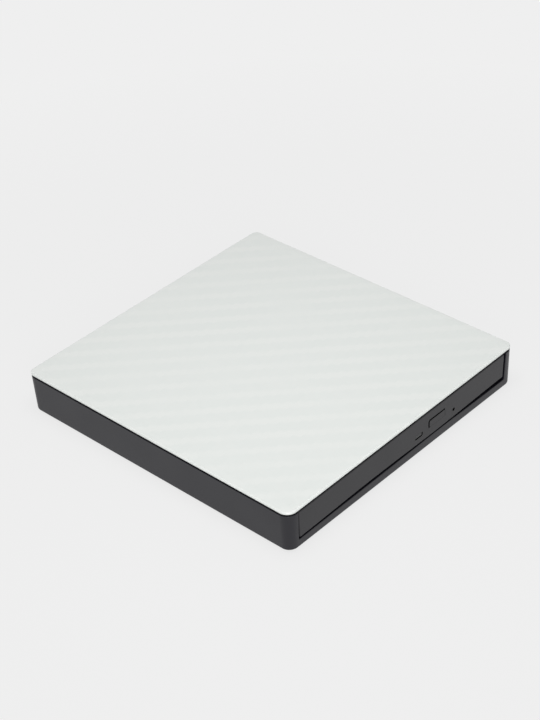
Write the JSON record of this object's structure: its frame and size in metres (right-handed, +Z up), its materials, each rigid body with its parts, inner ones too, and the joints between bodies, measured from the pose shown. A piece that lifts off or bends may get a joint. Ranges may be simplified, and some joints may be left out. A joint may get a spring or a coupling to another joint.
{
  "type": "external disc drive",
  "caption": "Slim external disc drive with a glossy patterned lid, a sliding tray on telescopic rails, an eject button, a spindle and a moving pickup.",
  "frame": {"origin": "under the middle of the case, at the level of the feet", "axes": "+Z up, -Y out of the front where the tray opens, +X to the device's right seen from the front"},
  "size_m": [0.142, 0.148, 0.0201],
  "materials": {
    "panel_white": "high gloss over a pale woven-look film",
    "case_black": "fine moulded grain",
    "bezel_black": "satin moulded",
    "foot_rubber": "matte",
    "black_steel": "blackened",
    "board_green": "solder mask",
    "chip_black": "moulded epoxy",
    "shell_steel": "drawn, nickel plated",
    "contact_black": "moulded",
    "sheet_steel": "pressed, zinc plated",
    "guide_white": "natural acetal",
    "rail_steel": "rolled stainless",
    "flex_amber": "polyimide film",
    "shaft_steel": "ground and polished",
    "tray_black": "fine moulded grain",
    "lamp_clear": "clear moulded",
    "cover_black": "satin black paint",
    "damper_rubber": "matte",
    "motor_steel": "turned",
    "hub_black": "moulded",
    "pickup_cast": "die cast",
    "lens_glass": "coated lens"
  },
  "bodies": {
    "case": {"top_panel": "panel_white", "lid_liner": "case_black", "lower_case": "case_black", "foot_front_left": "foot_rubber", "foot_front_right": "foot_rubber", "foot_rear_left": "foot_rubber", "foot_rear_right": "foot_rubber", "case_screws": "black_steel", "bridge_board": "board_green", "bridge_components": "chip_black", "usb_socket": "shell_steel", "usb_socket_tongue": "contact_black", "sata_socket": "contact_black", "sata_plug": "contact_black", "drive_bottom_pan": "sheet_steel", "drive_top_cover": "sheet_steel", "cover_screws": "black_steel", "rail_guide_left": "guide_white", "rail_guide_right": "guide_white", "drive_board": "board_green", "flex_connector": "contact_black", "flex_cable": "flex_amber", "lock_post": "shaft_steel", "ejector_spring": "shaft_steel"},
    "ejector": {"ejector_plunger": "guide_white"},
    "left_rail": {"slide_rail_left": "rail_steel"},
    "right_rail": {"slide_rail_right": "rail_steel"},
    "tray_unit": {"tray": "tray_black", "tray_bezel": "bezel_black", "led_window": "lamp_clear", "switch_board": "board_green", "eject_switch": "contact_black", "status_led": "lamp_clear", "tray_board": "board_green", "drive_chips": "chip_black", "latch_solenoid": "sheet_steel", "traverse_frame": "sheet_steel", "traverse_cover": "cover_black", "damper_right": "damper_rubber", "damper_left": "damper_rubber", "damper_rear": "damper_rubber", "damper_screws": "black_steel", "motor_stator": "motor_steel", "guide_shaft_main": "shaft_steel", "guide_shaft_second": "shaft_steel", "stepper_motor": "motor_steel", "screw_bearing": "guide_white"},
    "button": {"eject_button": "bezel_black"},
    "latch": {"latch_lever": "guide_white"},
    "spindle": {"turntable": "motor_steel", "disc_pad": "damper_rubber", "hub_cap": "hub_black"},
    "claw_1": {"hub_claw_1": "guide_white"},
    "claw_2": {"hub_claw_2": "guide_white"},
    "claw_3": {"hub_claw_3": "guide_white"},
    "screw": {"lead_screw": "shaft_steel"},
    "pickup": {"pickup_housing": "pickup_cast", "lead_nut": "guide_white"},
    "lens": {"lens_carrier": "hub_black", "objective_lens": "lens_glass"}
  },
  "joints": [
    {"name": "tray_slide", "type": "slide", "parent": "case", "child": "tray_unit", "axis": [0, -1, 0], "range_m": [0, 0.128], "deforming": ["flex_cable"]},
    {"name": "left_rail_slide", "type": "slide", "parent": "case", "child": "left_rail", "axis": [0, -1, 0], "range_m": [0, 0.064]},
    {"name": "right_rail_slide", "type": "slide", "parent": "case", "child": "right_rail", "axis": [0, -1, 0], "range_m": [0, 0.064]},
    {"name": "ejector_slide", "type": "slide", "parent": "case", "child": "ejector", "axis": [0, -1, 0], "range_m": [0, 0.01], "deforming": ["ejector_spring"]},
    {"name": "eject_button_press", "type": "slide", "parent": "tray_unit", "child": "button", "axis": [0, 1, 0], "range_m": [0, 0.0006], "stiffness_N_per_m": 800},
    {"name": "latch_turn", "type": "hinge", "parent": "tray_unit", "child": "latch", "pos_m": [0.043, -0.064, 0.0082], "axis": [0, 0, 1], "range_deg": [-14, 0]},
    {"name": "spindle_spin", "type": "hinge", "parent": "tray_unit", "child": "spindle", "pos_m": [-0.0009, -0.00755, 0.0129], "axis": [0, 0, 1], "continuous": true},
    {"name": "claw_1_give", "type": "slide", "parent": "spindle", "child": "claw_1", "axis": [-0.2588, 0.9659, 0], "range_m": [0, 0.0004], "stiffness_N_per_m": 300},
    {"name": "claw_2_give", "type": "slide", "parent": "spindle", "child": "claw_2", "axis": [-0.7071, -0.7071, 0], "range_m": [0, 0.0004], "stiffness_N_per_m": 300},
    {"name": "claw_3_give", "type": "slide", "parent": "spindle", "child": "claw_3", "axis": [0.9659, -0.2588, 0], "range_m": [0, 0.0004], "stiffness_N_per_m": 300},
    {"name": "pickup_slide", "type": "slide", "parent": "tray_unit", "child": "pickup", "axis": [-0.7071, -0.7071, 0], "range_m": [0, 0.034]},
    {"name": "lead_screw_spin", "type": "hinge", "parent": "tray_unit", "child": "screw", "pos_m": [-0.00055, -0.03619, 0.0085], "axis": [-0.7071, -0.7071, 0], "range_deg": [-180, 4260]},
    {"name": "lens_focus", "type": "slide", "parent": "pickup", "child": "lens", "axis": [0, 0, 1], "range_m": [-0.0004, 0.0004], "stiffness_N_per_m": 60}
  ],
  "couplings": [
    {"joint": "left_rail_slide", "follows": "tray_slide", "ratio": 0.5},
    {"joint": "right_rail_slide", "follows": "tray_slide", "ratio": 0.5},
    {"joint": "ejector_slide", "follows": "tray_slide", "ratio": 0.078125},
    {"joint": "lead_screw_spin", "follows": "pickup_slide", "rad_per_m": 2094.4}
  ]
}
